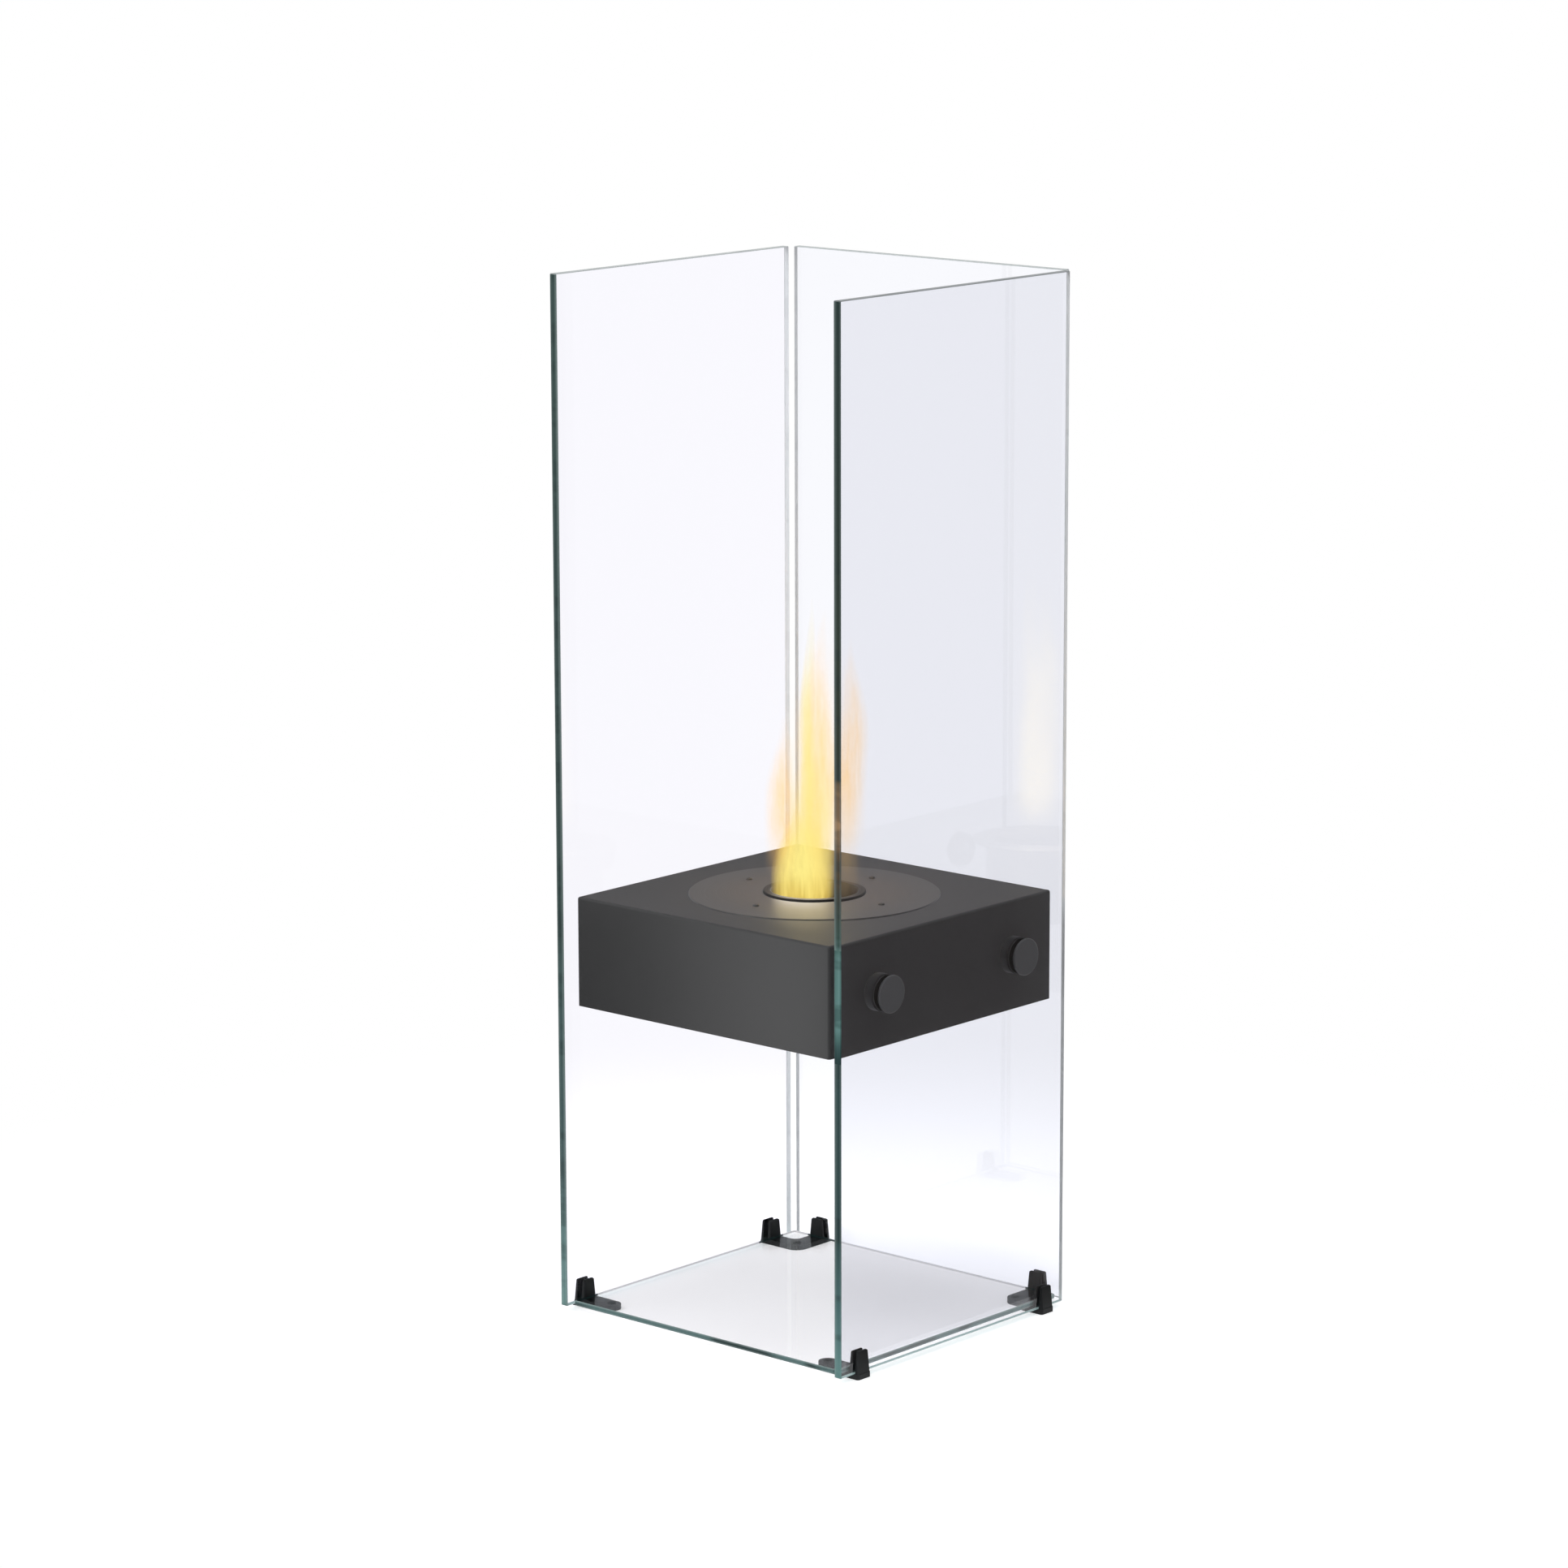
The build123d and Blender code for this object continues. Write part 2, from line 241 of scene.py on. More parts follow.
def make_turned_lines():
    """Fine lathe or spinning lines round an upright axis."""
    tree, given, result = new_group("Turned lines", "ShaderNodeTree", [
        ("Axis", VECTOR, None), ("Line Scale", NUMBER, 900.0),
        ("Gloss", NUMBER, 0.3), ("Gloss Spread", NUMBER, 0.18),
    ], [("Roughness", NUMBER), ("Height", NUMBER), ("Radius", NUMBER)])
    x, y, z = split(tree, vector_maths(tree, "SUBTRACT", place(tree), given["Axis"]))
    radius = maths(tree, "SQRT", maths(tree, "ADD", product(tree, x, x), product(tree, y, y)))
    lines = noise(tree, merge(tree, radius, 0.0, z), given["Line Scale"], detail=2.0)
    sway = stray(tree, lines, given["Gloss Spread"])
    tree.links.new(maths(tree, "ADD", given["Gloss"], sway), result["Roughness"])
    tree.links.new(lines, result["Height"])
    tree.links.new(radius, result["Radius"])
    return tree


def make_heat_tint():
    """Straw, bronze and blue rings that heat leaves round the flame's mouth."""
    tree, given, result = new_group("Heat tint", "ShaderNodeTree", [
        ("Colour", COLOUR, None), ("Radius", NUMBER, 0.0), ("Hot Radius", NUMBER, 0.05),
        ("Cool Radius", NUMBER, 0.1), ("Strength", NUMBER, 0.5), ("Wander", NUMBER, 0.02),
    ], [("Colour", COLOUR)])
    wander = stray(tree, noise(tree, place(tree), 22.0, detail=3.0), given["Wander"])
    radius = maths(tree, "ADD", given["Radius"], wander)
    tint = colour_steps(tree, spread(tree, radius, given["Hot Radius"], given["Cool Radius"]), [
        (0.0, (0.55, 0.42, 0.40)), (0.3, (0.62, 0.52, 0.60)),
        (0.55, (1.0, 0.74, 0.46)), (1.0, (1.0, 1.0, 1.0)),
    ])
    tinted = vector_maths(tree, "MULTIPLY", given["Colour"], tint)
    tree.links.new(blend_colours(tree, given["Strength"], given["Colour"], tinted), result["Colour"])
    return tree


def make_wiping_marks():
    """The faintest of cloth marks on polished glass."""
    tree, given, result = new_group("Wiping marks", "ShaderNodeTree", [
        ("Stretch", VECTOR, (3.0, 3.0, 1.2)), ("Scale", NUMBER, 4.0), ("Haze", NUMBER, 0.03),
    ], [("Roughness", NUMBER)])
    marks = stretched_noise(tree, given["Stretch"], given["Scale"], detail=4.0)
    tree.links.new(spread(tree, marks, 0.55, 0.8, 0.0, given["Haze"]), result["Roughness"])
    return tree


def make_ground_streaks():
    """Grinding streaks on a glass edge, with patches that shift its tone up or down and hold dark flecks."""
    tree, given, result = new_group("Ground streaks", "ShaderNodeTree", [
        ("Streak Stretch", VECTOR, (900.0, 900.0, 14.0)), ("Patch Stretch", VECTOR, (13.0, 13.0, 45.0)),
        ("Shift", NUMBER, 0.02), ("Flecks", NUMBER, 0.35),
    ], [("Height Share", NUMBER), ("Fleck Share", NUMBER), ("Streaks", NUMBER), ("Roughness", NUMBER)])
    streaks = stretched_noise(tree, given["Streak Stretch"], 1.0, detail=3.0)
    patches = stretched_noise(tree, given["Patch Stretch"], 1.0, detail=2.0)
    shifted = maths(tree, "ADD", height(tree), stray(tree, patches, given["Shift"]))
    tree.links.new(spread(tree, shifted, 0.0, pane_top), result["Height Share"])
    tree.links.new(spread(tree, patches, 0.52, 0.62, 0.0, given["Flecks"]), result["Fleck Share"])
    tree.links.new(spread(tree, streaks, 0.35, 0.65), result["Streaks"])
    tree.links.new(spread(tree, streaks, 0.3, 0.7, 0.15, 0.35), result["Roughness"])
    return tree


def make_streaked_core():
    """A ground edge's tone, deeper between its streaks."""
    tree, given, result = new_group("Streaked core", "ShaderNodeTree", [
        ("Tone", COLOUR, None), ("Streaks", NUMBER, 0.5), ("Depth", VECTOR, (0.8, 0.85, 0.85)),
    ], [("Colour", COLOUR)])
    deep = vector_maths(tree, "MULTIPLY", given["Tone"], given["Depth"])
    tree.links.new(blend_colours(tree, given["Streaks"], deep, given["Tone"]), result["Colour"])
    return tree


def make_across_pane():
    """How far a point lies across a side pane's front edge, from 0 on its left to 1 on its right."""
    tree, given, result = new_group("Across pane", "ShaderNodeTree", [
        ("Inner", NUMBER, pane_inner), ("Outer", NUMBER, pane_outer), ("Middle", NUMBER, 0.5),
    ], [("Across", NUMBER)])
    x = split(tree, place(tree))[0]
    depth = spread(tree, maths(tree, "ABSOLUTE", x), given["Inner"], given["Outer"])
    off_middle = product(tree, maths(tree, "SIGN", x), maths(tree, "SUBTRACT", depth, given["Middle"]))
    tree.links.new(maths(tree, "ADD", given["Middle"], off_middle), result["Across"])
    return tree


def make_across_base():
    """How far a point lies across the base plate's edge, from 0 below to 1 above."""
    tree, given, result = new_group("Across base", "ShaderNodeTree", [
        ("Low", NUMBER, base_low[2]), ("High", NUMBER, base_high[2]),
    ], [("Across", NUMBER)])
    tree.links.new(spread(tree, height(tree), given["Low"], given["High"]), result["Across"])
    return tree


grain = make_grain()
turned_lines = make_turned_lines()
heat_tint = make_heat_tint()
wiping_marks = make_wiping_marks()
ground_streaks = make_ground_streaks()
streaked_core = make_streaked_core()
across_pane = make_across_pane()
across_base = make_across_base()


# Finishes

turned_line_depth = 0.000012
# Pale flank colour: painted light that shows through an edge's sides. Fleck colour: random dark flecks, and
# also painted shade where the firebox or a lug stands behind an edge.
edge_flank = (0.50, 0.60, 0.58, 1.0)
edge_fleck_and_shade = (0.015, 0.028, 0.028, 1.0)
edge_shine = 0.05


def new_finish(name):
    material = bpy.data.materials.new(name)
    material.use_nodes = True
    tree = material.node_tree
    return material, tree, tree.nodes["Principled BSDF"]


def use_group(tree, group, **values):
    node = add_node(tree, "ShaderNodeGroup", node_tree=group)
    for name, value in values.items():
        feed(tree, node.inputs[name.replace("_", " ")], value)
    return node.outputs


def bump(tree, shader, relief, depth):
    node = add_node(tree, "ShaderNodeBump")
    node.inputs["Distance"].default_value = depth
    node.inputs["Strength"].default_value = 1.0
    tree.links.new(relief, node.inputs["Height"])
    tree.links.new(node.outputs["Normal"], shader.inputs["Normal"])


def grained_finish(name, colour, gloss, mottle, mottle_scale, gloss_spread, tooth_scale, tooth,
                   metallic=0.0, specular=0.5):
    material, tree, shader = new_finish(name)
    look = use_group(tree, grain, Colour=opaque(colour), Mottle=mottle, Mottle_Scale=mottle_scale,
                     Gloss=gloss, Gloss_Spread=gloss_spread, Tooth_Scale=tooth_scale)
    tree.links.new(look["Colour"], shader.inputs["Base Color"])
    tree.links.new(look["Roughness"], shader.inputs["Roughness"])
    shader.inputs["Metallic"].default_value = metallic
    shader.inputs["Specular IOR Level"].default_value = specular
    bump(tree, shader, look["Height"], tooth)
    return material


def turned_finish(name, colour, gloss, hot_radius, cool_radius, tint, metallic):
    material, tree, shader = new_finish(name)
    look = use_group(tree, turned_lines, Axis=burner_axis, Gloss=gloss)
    warm = use_group(tree, heat_tint, Colour=opaque(colour), Radius=look["Radius"], Hot_Radius=hot_radius,
                     Cool_Radius=cool_radius, Strength=tint)
    tree.links.new(warm["Colour"], shader.inputs["Base Color"])
    tree.links.new(look["Roughness"], shader.inputs["Roughness"])
    shader.inputs["Metallic"].default_value = metallic
    bump(tree, shader, look["Height"], turned_line_depth)
    return material


def pane_glass(name, colour, bending):
    """Clear toughened glass, polished, with the faintest of wiping marks."""
    material, tree, shader = new_finish(name)
    tree.links.new(use_group(tree, wiping_marks)["Roughness"], shader.inputs["Roughness"])
    shader.inputs["Base Color"].default_value = opaque(colour)
    shader.inputs["Transmission Weight"].default_value = 1.0
    shader.inputs["IOR"].default_value = bending
    return material


def lugs_behind(tree):
    """1 where a foot's lug stands behind or beside the base plate's left or rear edge."""
    x, y = split(tree, place(tree))[:2]
    stands = 0.0
    for along, start in ((y, front_lug_low[1] - lug_depth), (y, rear_lug_low[1] - lug_depth),
                         (x, -rear_lug_low[0] - lug_width), (x, rear_lug_low[0])):
        stands = maths(tree, "ADD", between(tree, along, start, start + lug_width + lug_depth), stands)
    return stands


def ground_edge(name, tones, across=None, flanks=(), backed=None, flecks=0.1, glow=0.0, lugs=False):
    """Ground glass edge: a streaked core, its tone set by the height as painted light and shade seen through
    the glass, and pale flanks painted with what is behind.
    """
    material, tree, shader = new_finish(name)
    ground = use_group(tree, ground_streaks, Flecks=flecks)
    tone = colour_steps(tree, ground["Height Share"], tones)
    tone = blend_colours(tree, ground["Fleck Share"], tone, edge_fleck_and_shade)
    # Painted light: the pale flanks stand for what shows through the edge from behind
    if across:
        paleness = [(spot, (share, share, share)) for spot, share in flanks]
        pale = colour_steps(tree, use_group(tree, across)["Across"], paleness)
        beside = edge_flank
        # Painted shade: the flanks turn dark over the heights where the firebox stands behind the edge
        if backed:
            beside = blend_colours(tree, between(tree, height(tree), *backed), beside, edge_fleck_and_shade)
        tone = blend_colours(tree, pale, tone, beside)
    # Painted shade: the edge is dark where a foot's lug stands behind it
    if lugs:
        tone = blend_colours(tree, lugs_behind(tree), tone, edge_fleck_and_shade)
    core = use_group(tree, streaked_core, Tone=tone, Streaks=ground["Streaks"])
    tree.links.new(core["Colour"], shader.inputs["Base Color"])
    tree.links.new(ground["Roughness"], shader.inputs["Roughness"])
    # Painted light: an edge with glow shines in its own tone as if lit
    tree.links.new(tone, shader.inputs["Emission Color"])
    shader.inputs["Emission Strength"].default_value = glow
    shader.inputs["Specular IOR Level"].default_value = edge_shine
    return material


clear_glass = pane_glass("clear_glass", (0.950, 0.957, 0.993), bending=1.5)
left_glass = pane_glass("left_glass", (0.955, 0.950, 0.998), bending=1.2)
# The base glass is tinted darker than the panes: partly the glass's own tint, partly painted shade for the
# shadow under the firebox
base_glass = pane_glass("base_glass", (0.895, 0.89, 0.905), bending=1.17)

# Edges, with tones by the share of a pane's height and paleness by the share of an edge's width. The tones
# are painted light and shade seen through the glass: paler low down, darker higher up, and on the right
# pane's edge orange at the fire's height.
left_front_edge = ground_edge("left_front_edge", [
    (0.0, (0.24, 0.40, 0.38)), (0.05, (0.20, 0.34, 0.33)), (0.14, (0.09, 0.145, 0.145)),
    (0.33, (0.075, 0.125, 0.12)), (0.37, (0.045, 0.075, 0.070)), (1.0, (0.050, 0.085, 0.078)),
], across_pane, [(0.0, 0.5), (0.2, 0.1), (0.5, 0.0), (0.75, 0.08), (1.0, 0.45)], flecks=0.35)
right_front_edge = ground_edge("right_front_edge", [
    (0.0, (0.20, 0.38, 0.36)), (0.07, (0.08, 0.18, 0.18)), (0.14, (0.035, 0.075, 0.075)),
    (0.31, (0.03, 0.07, 0.07)), (0.335, (0.15, 0.30, 0.28)), (0.40, (0.15, 0.29, 0.27)),
    (0.42, (0.04, 0.085, 0.07)), (0.455, (0.045, 0.05, 0.04)), (0.475, (0.09, 0.06, 0.03)),
    (0.50, (0.11, 0.07, 0.035)), (0.515, (0.44, 0.26, 0.13)), (0.55, (0.36, 0.21, 0.10)),
    (0.57, (0.03, 0.04, 0.025)), (1.0, (0.02, 0.04, 0.038)),
], across_pane, [(0.0, 0.42), (0.2, 0.2), (0.45, 0.06), (0.72, 0.0), (1.0, 0.2)],
    backed=(firebox_low[2], firebox_high[2]), flecks=0.45)
base_edge = ground_edge("base_edge", even((0.14, 0.235, 0.23)), across_base,
                        [(0.0, 0.8), (0.25, 0.2), (0.55, 0.0), (0.8, 0.2), (1.0, 0.6)], flecks=0.85)
top_edge = ground_edge("top_edge", even((0.55, 0.57, 0.57)))
# The right pane's top edge is a darker copy of the top edge: painted shade
right_top_edge = ground_edge("right_top_edge", even((0.30, 0.31, 0.32)))
bottom_edge = ground_edge("bottom_edge", even((0.75, 0.96, 0.94)))
# Painted light: the pale edges glow in their own tone, the far base edges more so, and these are also painted
# dark where the lugs stand behind them
pale_edge = ground_edge("pale_edge", [(0.0, (0.90, 0.92, 0.93)), (1.0, (0.90, 0.91, 0.92))],
                        flecks=0.05, glow=0.12)
far_base_edge = ground_edge("far_base_edge", even((0.88, 0.86, 0.88)), flecks=0.05, glow=0.3, lugs=True)

black_coat = grained_finish("black_coat", (0.037, 0.037, 0.038), gloss=0.50, mottle=0.10, mottle_scale=9.0,
                            gloss_spread=0.06, tooth_scale=1400.0, tooth=0.00004, specular=0.35)
black_anodised = grained_finish("black_anodised", (0.085, 0.085, 0.090), gloss=0.40, mottle=0.08,
                                mottle_scale=30.0, gloss_spread=0.06, tooth_scale=2500.0, tooth=0.00001)
# Painted shade: the spacers take a darker copy of the caps' anodised black, for the shade they stand in
# between the firebox and the glass
shaded_spacer_black = grained_finish("shaded_spacer_black", (0.022, 0.022, 0.024), gloss=0.60, mottle=0.08,
                              mottle_scale=30.0, gloss_spread=0.06, tooth_scale=2500.0, tooth=0.00001,
                              specular=0.2)
black_rubber = grained_finish("black_rubber", (0.012, 0.014, 0.015), gloss=0.55, mottle=0.15,
                              mottle_scale=60.0, gloss_spread=0.10, tooth_scale=1800.0, tooth=0.00004,
                              specular=0.3)
gasket_rubber = grained_finish("gasket_rubber", (0.02, 0.02, 0.02), gloss=0.7, mottle=0.12, mottle_scale=80.0,
                               gloss_spread=0.1, tooth_scale=1800.0, tooth=0.00004)
dark_oxide = grained_finish("dark_oxide", (0.055, 0.053, 0.052), gloss=0.42, mottle=0.15, mottle_scale=200.0,
                            gloss_spread=0.1, tooth_scale=3000.0, tooth=0.00001)
zinc = grained_finish("zinc_plate", (0.60, 0.60, 0.58), gloss=0.32, mottle=0.10, mottle_scale=160.0,
                      gloss_spread=0.12, tooth_scale=3000.0, tooth=0.00001, metallic=1.0)
nylon = grained_finish("nylon", (0.76, 0.76, 0.73), gloss=0.55, mottle=0.06, mottle_scale=90.0,
                       gloss_spread=0.08, tooth_scale=2000.0, tooth=0.00002)
wool = grained_finish("ceramic_wool", (0.78, 0.75, 0.69), gloss=0.95, mottle=0.25, mottle_scale=160.0,
                      gloss_spread=0.05, tooth_scale=420.0, tooth=0.0008)
# Painted shade: a dark hexagon stands for the shaded inside of each screw's socket
socket_shade = grained_finish("socket_shade", (0.030, 0.029, 0.029), gloss=0.6, mottle=0.1,
                              mottle_scale=300.0, gloss_spread=0.1, tooth_scale=3000.0, tooth=0.00001)
plate_coat = turned_finish("plate_coat", (0.050, 0.048, 0.047), gloss=0.42, hot_radius=0.045,
                           cool_radius=0.125, tint=0.2, metallic=0.0)
stainless = turned_finish("stainless", (0.10, 0.092, 0.085), gloss=0.36, hot_radius=0.03,
                          cool_radius=0.066, tint=0.8, metallic=1.0)
sooted = turned_finish("sooted_steel", (0.018, 0.017, 0.016), gloss=0.5, hot_radius=0.03,
                       cool_radius=0.066, tint=0.4, metallic=0.2)

# Fire: its colours, and distances in metres
tongue_marks = ("along", "fullness", "warmth")  # written on each tongue's points
fire_sides_to_middle = [(0.0, (1.2, 0.70, 0.16)), (0.4, (1.05, 0.76, 0.21)), (1.0, (1.0, 0.87, 0.27))]
fire_low = (0.96, 0.74, 0.18, 1.0)
fire_foot = (0.56, 0.34, 0.035, 1.0)
foot_low, foot_high = rim_top - 0.004, rim_top + 0.024
# Painted reflection: in mirrors the fire shows paler and stronger, and its foot near white, a painted
# highlight on the burner plate in front of the rim
mirrored_fire = (2.5, 2.05, 0.95, 1.0)  # paler and stronger than what is seen straight
mirrored_foot = (5.5, 5.2, 4.8, 1.0)
mirrored_foot_high = rim_top + 0.012
lick_stretch, lick_scale = (80.0, 80.0, 9.0), 1.6
cool_softness, hot_softness = 4.2, 2.3  # how fast a tongue thins towards its sides
mirror_near, mirror_far = 0.12, 0.17  # way to a mirror, over which the image in it thins
ghost_low, ghost_high = rim_top + 0.005, rim_top + 0.075  # where that thinned image comes up


def fire():
    """Soft-sided fire: dense yellow low in each tongue, orange and thin at its sides and tip."""
    material, tree, shader = new_finish("fire")
    along, fullness, warmth = [add_node(tree, "ShaderNodeAttribute", attribute_name=label).outputs["Fac"]
                               for label in tongue_marks]
    edge_on = add_node(tree, "ShaderNodeLayerWeight")
    edge_on.inputs["Blend"].default_value = 0.5
    body = maths(tree, "SUBTRACT", 1.0, edge_on.outputs["Facing"])
    licks = stretched_noise(tree, lick_stretch, lick_scale, detail=2.0)
    torn = spread(tree, licks, 0.3, 0.65, spread(tree, along, 0.0, 0.4, 0.85, 0.4), 1.0)
    thin_tip = spread(tree, along, 0.42, 1.0, 1.0, 0.0, smooth=True)
    thin_foot = spread(tree, along, 0.0, 0.35, warmth, 1.0)
    softness = spread(tree, warmth, 0.0, 1.0, cool_softness, hot_softness)
    cover = product(tree, maths(tree, "POWER", body, softness), thin_tip, thin_foot, torn)
    rays = add_node(tree, "ShaderNodeLightPath").outputs
    mirrored = maths(tree, "GREATER_THAN", rays["Glossy Depth"], one_or_more)
    far = product(tree, mirrored, spread(tree, rays["Ray Length"], mirror_near, mirror_far))
    level = height(tree)
    ghost = product(tree, spread(tree, level, ghost_low, ghost_high, smooth=True), body, body)
    cover = product(tree, cover, spread(tree, far, 0.0, 1.0, 1.0, ghost), fullness)
    tree.links.new(cover, shader.inputs["Alpha"])
    colour = colour_steps(tree, product(tree, body, warmth), fire_sides_to_middle)
    low = product(tree, spread(tree, along, 0.0, 0.4, 1.0, 0.0), warmth)
    colour = blend_colours(tree, low, colour, fire_low)
    foot = spread(tree, level, foot_low, foot_high, 1.0, 0.0)
    amber = product(tree, foot, spread(tree, licks, 0.38, 0.58, 0.75, 0.1))
    colour = blend_colours(tree, amber, colour, fire_foot)
    # Painted highlight: in mirrors the fire is paler, and near white close to the rim
    near_rim = spread(tree, level, rim_top, mirrored_foot_high, 1.0, 0.0)
    in_mirror = blend_colours(tree, near_rim, mirrored_fire, mirrored_foot)
    tree.links.new(blend_colours(tree, mirrored, colour, in_mirror), shader.inputs["Emission Color"])
    shader.inputs["Emission Strength"].default_value = 1.0
    shader.inputs["Base Color"].default_value = (0.0, 0.0, 0.0, 1.0)
    shader.inputs["Specular IOR Level"].default_value = 0.0
    shader.inputs["Roughness"].default_value = 1.0
    return material


flame_look = fire()

finishes = {
    "left_glass": left_glass, "rear_glass": clear_glass, "right_glass": clear_glass, "base_glass": base_glass,
    "base_pads": black_rubber, "firebox_body": black_coat, "firebox_floor": black_coat,
    "floor_screws": zinc, "floor_nuts": zinc, "burner_plate": plate_coat, "plate_screws": dark_oxide,
    "plate_nuts": zinc, "burner_well": stainless, "burner_cup": sooted, "flame_screen": stainless,
    "ceramic_wool": wool,
}
feet = [corner + "_foot" for corner in ("front_left", "front_right", "rear_left", "rear_right")]
for foot in feet:
    finishes[foot] = black_rubber
for side in ("left", "rear", "right"):
    finishes[side + "_spacers"] = shaded_spacer_black
    finishes[side + "_caps"] = black_anodised
    finishes[side + "_gaskets"] = gasket_rubber
    finishes[side + "_bushes"] = nylon
    finishes[side + "_nuts"] = zinc
    finishes[side + "_studs"] = zinc
for name, finish in finishes.items():
    nodes[name].data.materials.clear()
    nodes[name].data.materials.append(finish)

# Glass casts no shadow, and of the other solids only these show in mirrors
seen_in_mirrors = feet + ["burner_well", "flame_screen", "ceramic_wool"]
for name in finishes:
    if name.endswith("_glass"):
        nodes[name].visible_shadow = False
    elif name not in seen_in_mirrors:
        nodes[name].visible_glossy = False


# Pieces grown by node trees: each modifier adds its share to one mesh

def grow(name, tree, rounds):
    """Run the tree once for each set of values, one after the other, and keep the result as a plain mesh."""
    carrier = bpy.data.objects.new(name + "_carrier", bpy.data.meshes.new(name + "_carrier"))
    bpy.context.scene.collection.objects.link(carrier)
    keys = {item.name: item.identifier for item in tree.interface.items_tree if item.in_out == "INPUT"}
    for values in rounds:
        modifier = carrier.modifiers.new(name, "NODES")
        modifier.node_group = tree
        for label, value in values.items():
            modifier[keys[label]] = value
    bpy.context.view_layer.update()
    ready = bpy.context.evaluated_depsgraph_get()
    mesh = bpy.data.meshes.new_from_object(carrier.evaluated_get(ready), depsgraph=ready)
    mesh.name = name
    bpy.data.objects.remove(carrier)
    piece = bpy.data.objects.new(name, mesh)
    bpy.context.scene.collection.objects.link(piece)
    return piece


def pass_on(tree, kind, geometry, **settings):
    """Add a node that takes the geometry in its first socket."""
    node = add_node(tree, kind, **settings)
    tree.links.new(geometry, node.inputs[0])
    return node


def weld(tree, geometry, reach):
    node = pass_on(tree, "GeometryNodeMergeByDistance", geometry)
    node.inputs["Distance"].default_value = reach
    return node.outputs[0]


def join(tree, *geometries):
    node = add_node(tree, "GeometryNodeJoinGeometry")
    for geometry in geometries:
        tree.links.new(geometry, node.inputs[0])
    return node.outputs[0]


def finish_tree(tree, given, result, shape):
    """Join what came in with the new shape, realised and in its finish."""
    dressed = pass_on(tree, "GeometryNodeSetMaterial", shape)
    tree.links.new(given["Finish"], dressed.inputs["Material"])
    both = join(tree, given["Geometry"], dressed.outputs[0])
    whole = pass_on(tree, "GeometryNodeRealizeInstances", both)
    tree.links.new(whole.outputs[0], result["Geometry"])


def make_edge_tree():
    """A thin skin over the sides of a pane that face the chosen way: its ground edges and drilled holes."""
    tree, given, result = new_group("Ground edge", "GeometryNodeTree", [
        ("Geometry", GEOMETRY, None), ("Pane", OBJECT, None), ("Thin Axis", VECTOR, None),
        ("Flat Face", NUMBER, 0.9), ("Facing", VECTOR, None), ("Least", NUMBER, 0.5),
        ("Lift", NUMBER, edge_lift), ("Skin", NUMBER, edge_skin), ("Finish", MATERIAL, None),
    ], [("Geometry", GEOMETRY)])
    pane = add_node(tree, "GeometryNodeObjectInfo")
    tree.links.new(given["Pane"], pane.inputs["Object"])
    normal = add_node(tree, "GeometryNodeInputNormal").outputs[0]
    flatness = maths(tree, "ABSOLUTE", vector_maths(tree, "DOT_PRODUCT", normal, given["Thin Axis"]))
    off_face = maths(tree, "LESS_THAN", flatness, given["Flat Face"])
    facing = vector_maths(tree, "DOT_PRODUCT", normal, given["Facing"])
    wanted = maths(tree, "GREATER_THAN", facing, given["Least"])
    sides = pass_on(tree, "GeometryNodeSeparateGeometry", pane.outputs["Geometry"], domain="FACE")
    tree.links.new(product(tree, off_face, wanted), sides.inputs["Selection"])
    welded = weld(tree, sides.outputs["Selection"], weld_reach)
    raised = pass_on(tree, "GeometryNodeSetPosition", welded)
    tree.links.new(scaled(tree, normal, given["Lift"]), raised.inputs["Offset"])
    outer = pass_on(tree, "GeometryNodeExtrudeMesh", raised.outputs[0])
    outer.inputs["Individual"].default_value = False
    tree.links.new(given["Skin"], outer.inputs["Offset Scale"])
    inner = pass_on(tree, "GeometryNodeFlipFaces", raised.outputs[0])
    shell = join(tree, inner.outputs[0], outer.outputs["Mesh"])
    finish_tree(tree, given, result, weld(tree, shell, skin_weld_reach))
    return tree


def make_socket_tree():
    """Dark hexagons in a ring of screw heads, painted shade for their sockets."""
    tree, given, result = new_group("Screw sockets", "GeometryNodeTree", [
        ("Geometry", GEOMETRY, None), ("Count", COUNT, 4), ("Circle", NUMBER, 0.1),
        ("Start Angle", NUMBER, 0.0), ("Centre", VECTOR, None), ("Flats", NUMBER, socket_flats),
        ("Depth", NUMBER, socket_depth), ("Finish", MATERIAL, None),
    ], [("Geometry", GEOMETRY)])
    hexagon = add_node(tree, "GeometryNodeMeshCylinder")
    hexagon.inputs["Vertices"].default_value = 6
    flats_to_radius = 2 * math.cos(math.radians(30))
    tree.links.new(maths(tree, "DIVIDE", given["Flats"], flats_to_radius), hexagon.inputs["Radius"])
    tree.links.new(given["Depth"], hexagon.inputs["Depth"])
    ring = add_node(tree, "GeometryNodeMeshCircle")
    tree.links.new(given["Count"], ring.inputs["Vertices"])
    tree.links.new(given["Circle"], ring.inputs["Radius"])
    turned = pass_on(tree, "GeometryNodeTransform", ring.outputs[0])
    tree.links.new(given["Centre"], turned.inputs["Translation"])
    tree.links.new(merge(tree, 0.0, 0.0, given["Start Angle"]), turned.inputs["Rotation"])
    set_out = pass_on(tree, "GeometryNodeInstanceOnPoints", turned.outputs[0])
    tree.links.new(hexagon.outputs["Mesh"], set_out.inputs["Instance"])
    finish_tree(tree, given, result, set_out.outputs[0])
    return tree


tongue_round, tongue_rows = 25, 41
tongue_ends = (0.001, 0.999)  # the first and last rows lie beyond these, and close to a point
tongue_waves = 1.4
tongue_bend = 1.6
tongue_outline = ((0.0, 0.82), (0.14, 1.0), (0.48, 0.86), (0.75, 0.52), (0.92, 0.18), (1.0, 0.02))


